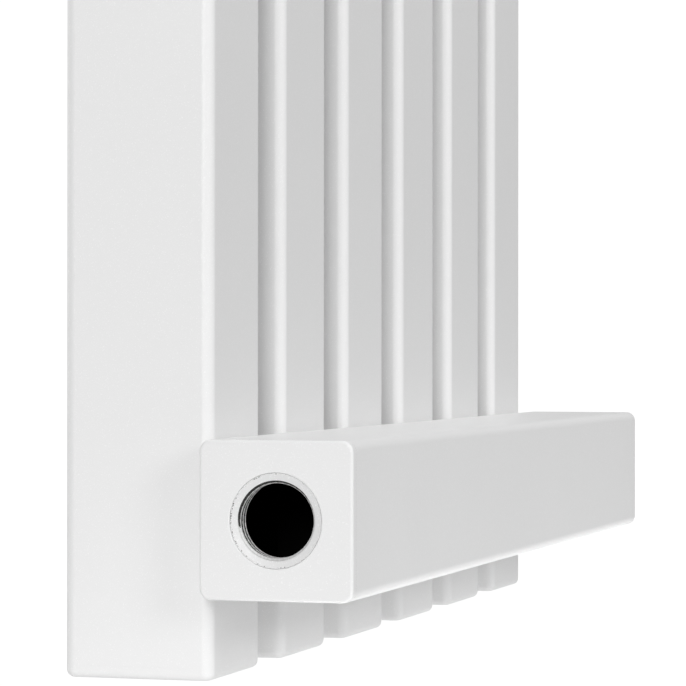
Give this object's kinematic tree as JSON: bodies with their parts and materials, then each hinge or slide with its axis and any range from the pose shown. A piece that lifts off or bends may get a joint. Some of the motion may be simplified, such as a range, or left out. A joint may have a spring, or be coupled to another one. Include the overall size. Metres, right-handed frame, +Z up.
{
  "type": "radiator",
  "caption": "Tall wall-hung steel tube radiator: square columns on square collectors, open threaded ports at the lower ends, a manual air vent and a blanking plug at the upper ends.",
  "frame": {"origin": "middle of the upper collector's underside, where the hooks of the wall bracket carry the radiator", "axes": "+Z up along the columns, +Y towards the wall, +X along the collectors to the right as seen from the room"},
  "size_m": [0.3846, 0.08, 1.8],
  "materials": {
    "white_powder_coat": "satin powder coat with a fine orange peel",
    "bare_steel": "bare cut steel",
    "nickel_plated_brass": "bright nickel plate",
    "white_plastic": "moulded satin",
    "black_rubber": "matt"
  },
  "bodies": {
    "radiator": {"column_tube_1": "white_powder_coat", "column_cap_bottom_1": "white_powder_coat", "column_cap_top_1": "white_powder_coat", "column_tube_2": "white_powder_coat", "column_cap_bottom_2": "white_powder_coat", "column_cap_top_2": "white_powder_coat", "column_tube_3": "white_powder_coat", "column_cap_bottom_3": "white_powder_coat", "column_cap_top_3": "white_powder_coat", "column_tube_4": "white_powder_coat", "column_cap_bottom_4": "white_powder_coat", "column_cap_top_4": "white_powder_coat", "column_tube_5": "white_powder_coat", "column_cap_bottom_5": "white_powder_coat", "column_cap_top_5": "white_powder_coat", "column_tube_6": "white_powder_coat", "column_cap_bottom_6": "white_powder_coat", "column_cap_top_6": "white_powder_coat", "collector_tube_lower": "white_powder_coat", "end_plate_lower_left": "white_powder_coat", "port_socket_lower_left": "bare_steel", "end_plate_lower_right": "white_powder_coat", "port_socket_lower_right": "bare_steel", "collector_tube_upper": "white_powder_coat", "end_plate_upper_left": "white_powder_coat", "port_socket_upper_left": "bare_steel", "end_plate_upper_right": "white_powder_coat", "port_socket_upper_right": "bare_steel", "flow_baffle": "bare_steel", "blanking_plug": "nickel_plated_brass", "blanking_plug_seal": "black_rubber", "vent_body": "nickel_plated_brass", "vent_seal": "black_rubber"},
    "vent_nozzle": {"vent_nozzle_ring": "white_plastic"},
    "bleed_screw_lift": {"bleed_screw_seal": "black_rubber"},
    "bleed_screw": {"bleed_screw": "nickel_plated_brass"}
  },
  "joints": [
    {"name": "vent_nozzle_turn", "type": "hinge", "parent": "radiator", "child": "vent_nozzle", "pos_m": [0.18, 0, 0.02], "axis": [1, 0, 0], "continuous": true},
    {"name": "bleed_screw_travel", "type": "slide", "parent": "radiator", "child": "bleed_screw_lift", "axis": [1, 0, 0], "range_m": [0, 0.0012]},
    {"name": "bleed_screw_turn", "type": "hinge", "parent": "bleed_screw_lift", "child": "bleed_screw", "pos_m": [0.18, 0, 0.02], "axis": [1, 0, 0], "range_deg": [0, 540]}
  ],
  "couplings": [
    {"joint": "bleed_screw_turn", "follows": "bleed_screw_travel", "rad_per_m": 7853.9}
  ]
}
